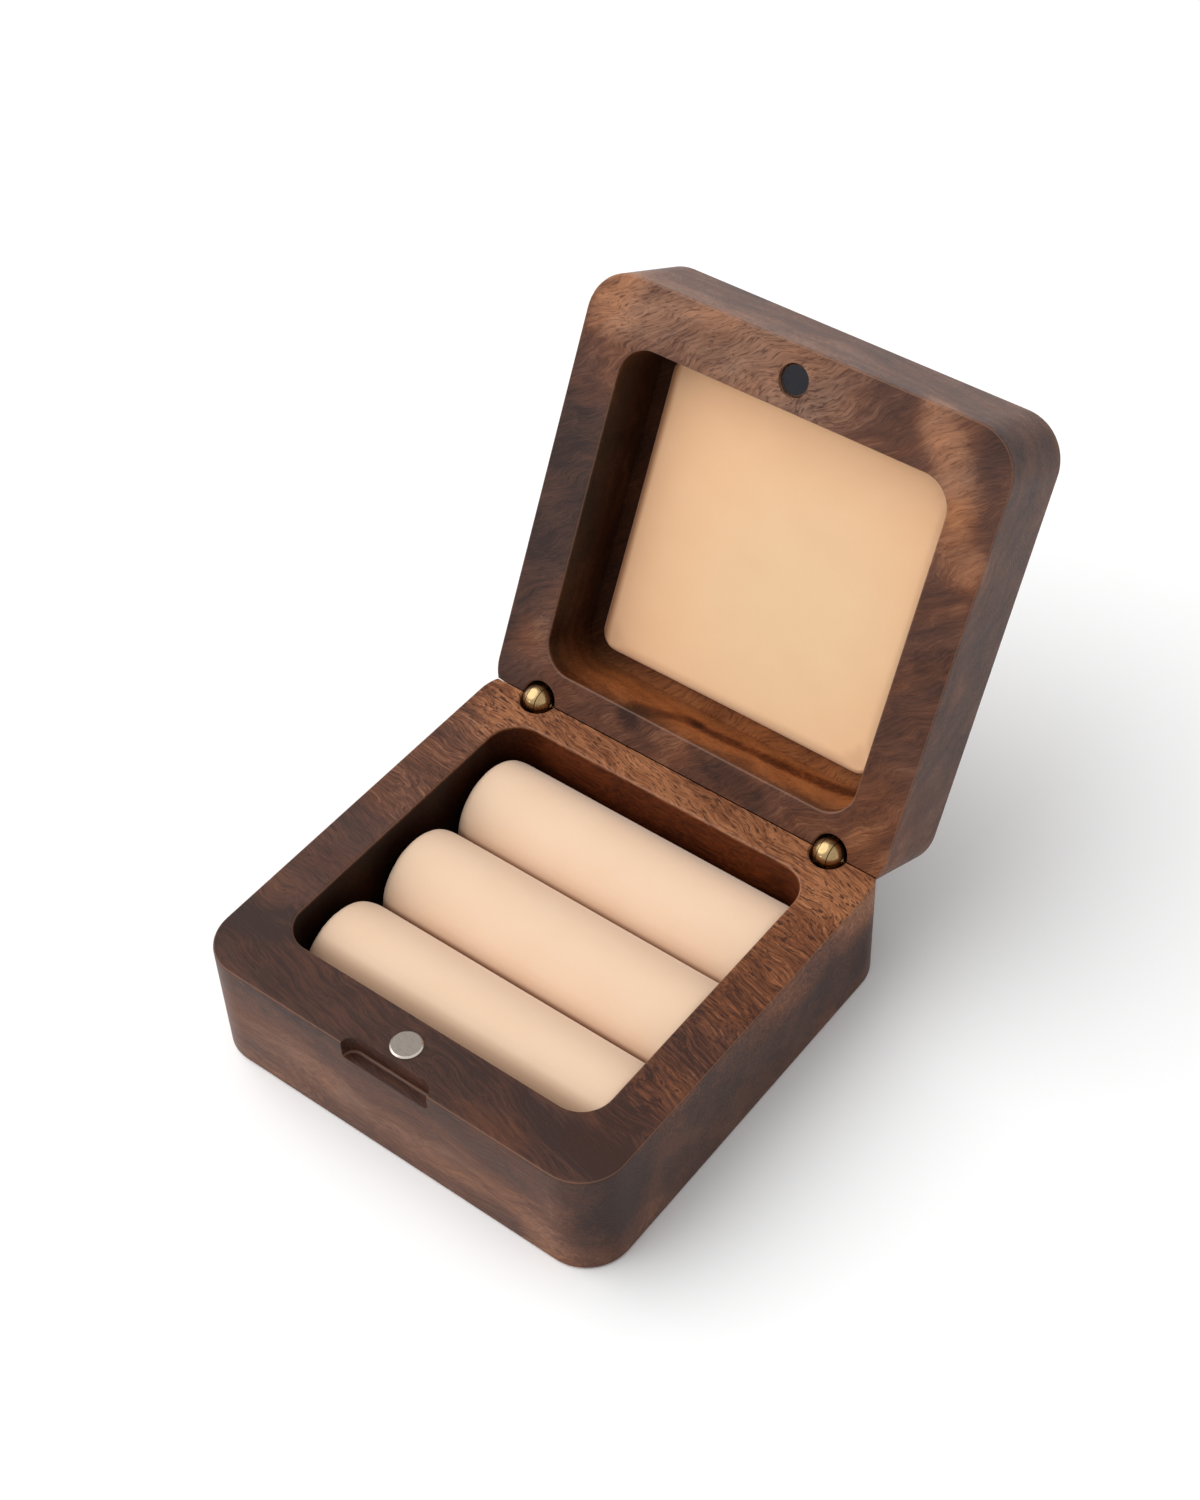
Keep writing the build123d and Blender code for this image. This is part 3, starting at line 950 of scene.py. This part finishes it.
class RINGBOX_OT_rolls(bpy.types.Operator):
    """Make the three rolls of the ring cushion"""
    bl_idname = "ringbox.rolls"
    bl_label = "Cushion Rolls"

    def execute(self, context):
        look = context.scene.ring_box_fabric
        # The rolls get painted shade in their grooves and along the front wall
        material = microfibre("microfibre_rolls", look.colour, 0.0, (groove_and_wall_shade, look.groove_shade))
        low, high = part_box("insert_board")
        room = Vector((ROLL_ROOM, ROLL_ROOM, 0))
        for name in ROLLS:
            front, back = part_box(f"roll_{name}_cover")
            cover = Cover(
                axes=((1, 0, 0), (0, 1, 0), (0, 0, 1)), foot=UP, rise=0.0,
                pressure=look.roll_pressure,
                form={"Upper Corner": (back.y - front.y) / 2,
                      "First End": look.roll_left_end, "Last End": look.roll_right_end},
                limit=(low - room, high + room, look.hollow_corner))
            cushion(f"roll_{name}", (f"roll_{name}_cover", f"roll_{name}_core"), "base",
                    look, material, cover)
        return {"FINISHED"}


class RINGBOX_OT_liner(bpy.types.Operator):
    """Make the padded liner of the lid"""
    bl_idname = "ringbox.liner"
    bl_label = "Lid Liner"

    def execute(self, context):
        look = context.scene.ring_box_fabric
        # The liner gets a painted paler middle and painted shade at its left edge
        material = microfibre("microfibre_liner", look.liner, OPEN_ANGLE,
                              (middle_painted_light, look.middle), (left_edge_shade, look.groove_shade))
        outward = (0, -math.sin(OPEN_ANGLE), -math.cos(OPEN_ANGLE))
        upward = (0, -math.cos(OPEN_ANGLE), math.sin(OPEN_ANGLE))
        cover = Cover(
            axes=(outward, (1, 0, 0), upward), foot=ALONG, rise=look.liner_rise,
            pressure=look.liner_pressure, limit=None,
            form={"Upper Corner": look.liner_corner, "Lower Corner": look.liner_corner,
                  "First End": LINER_BACK_EDGE, "Last End": look.liner_edge, "First Share": 0.2,
                  "Faces Around": 240})
        cushion("lid_liner", ("liner_cover", "liner_foam"), "lid", look, material, cover)
        return {"FINISHED"}


# Stage

# The floor's half width and the faces along its side, what the lamp is aimed at, the camera's film
# in millimetres, and the nearest thing that it sees
FLOOR_REACH = 3.0
FLOOR_FACES = 8
LAMP_AIM = (0, 0.01, 0.02)
SENSOR_MM = 36.0
NEAREST_SEEN = 0.01


def add_floor(scene, look):
    mesh = bpy.data.meshes.new("floor")
    work = bmesh.new()
    bmesh.ops.create_grid(work, x_segments=FLOOR_FACES, y_segments=FLOOR_FACES, size=FLOOR_REACH)
    work.to_mesh(mesh)
    work.free()
    floor = bpy.data.objects.new("floor", mesh)
    scene.collection.objects.link(floor)
    material, _, shader = new_material("white_paper", Roughness=1.0, Specular_IOR_Level=0.0)
    shader.inputs["Base Color"].default_value = look.floor
    mesh.materials.append(material)


def add_sky(scene, look):
    """An even sky that the camera and reflections see as full white."""
    world = bpy.data.worlds.new("studio")
    scene.world = world
    world.use_nodes = True
    tree = world.node_tree
    tree.nodes.clear()
    wiring = Wiring(tree)
    rays = wiring.add("ShaderNodeLightPath").outputs
    clear = wiring.math("MAXIMUM", rays["Is Camera Ray"], rays["Is Glossy Ray"])
    clear = wiring.math("MAXIMUM", clear, rays["Is Transmission Ray"])
    strength = wiring.span(clear, 0.0, 1.0, look.sky, 1.0)
    back = wiring.add("ShaderNodeBackground", {"Color": (1, 1, 1, 1), "Strength": strength})
    out = wiring.add("ShaderNodeOutputWorld")
    tree.links.new(back.outputs[0], out.inputs[0])


def add_lamp(scene, look):
    data = bpy.data.lights.new("key", "AREA")
    data.shape = "DISK"
    data.size = look.key_size
    data.energy = look.key_power
    lamp = bpy.data.objects.new("key", data)
    place = Vector(look.key_place)
    lamp.location = place
    lamp.rotation_euler = (Vector(LAMP_AIM) - place).to_track_quat("-Z", "Y").to_euler()
    scene.collection.objects.link(lamp)


def add_camera(scene, look):
    data = bpy.data.cameras.new("camera")
    data.lens = look.lens
    data.sensor_width = SENSOR_MM
    data.clip_start = NEAREST_SEEN
    camera = bpy.data.objects.new("camera", data)
    camera.location = look.eye
    camera.rotation_euler = look.turn
    scene.collection.objects.link(camera)
    scene.camera = camera


class RINGBOX_OT_stage(bpy.types.Operator):
    """Set up the floor, the light and the camera"""
    bl_idname = "ringbox.stage"
    bl_label = "Stage"

    def execute(self, context):
        look = context.scene.ring_box_stage
        for add in (add_floor, add_sky, add_lamp, add_camera):
            add(context.scene, look)
        context.scene.view_settings.view_transform = "Standard"
        return {"FINISHED"}


OPERATORS = (RINGBOX_OT_wood, RINGBOX_OT_hinges, RINGBOX_OT_magnets, RINGBOX_OT_boards,
             RINGBOX_OT_rolls, RINGBOX_OT_liner, RINGBOX_OT_stage)
SETTINGS = {
    "ring_box_wood": WoodSettings, "ring_box_fabric": FabricSettings,
    "ring_box_metal": MetalSettings, "ring_box_stage": StageSettings,
}


class RINGBOX_PT_panel(bpy.types.Panel):
    """Sizes, colours and steps of the ring box"""
    bl_idname = "RINGBOX_PT_panel"
    bl_label = "Ring Box"
    bl_space_type = "VIEW_3D"
    bl_region_type = "UI"
    bl_category = "Ring Box"

    def draw(self, context):
        for name, group in SETTINGS.items():
            box = self.layout.box()
            box.label(text=group.__doc__)
            for key in group.__annotations__:
                box.prop(getattr(context.scene, name), key)
        for operator in OPERATORS:
            self.layout.operator(operator.bl_idname)


def register():
    for group in (*SETTINGS.values(), *OPERATORS, RINGBOX_PT_panel):
        bpy.utils.register_class(group)
    for name, group in SETTINGS.items():
        setattr(bpy.types.Scene, name, PointerProperty(type=group))


def unregister():
    for name in SETTINGS:
        delattr(bpy.types.Scene, name)
    for group in reversed((*SETTINGS.values(), *OPERATORS, RINGBOX_PT_panel)):
        bpy.utils.unregister_class(group)


def main():
    register()
    for operator in OPERATORS:
        group, name = operator.bl_idname.split(".")
        getattr(getattr(bpy.ops, group), name)()
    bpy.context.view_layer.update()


if __name__ == "__main__":
    main()
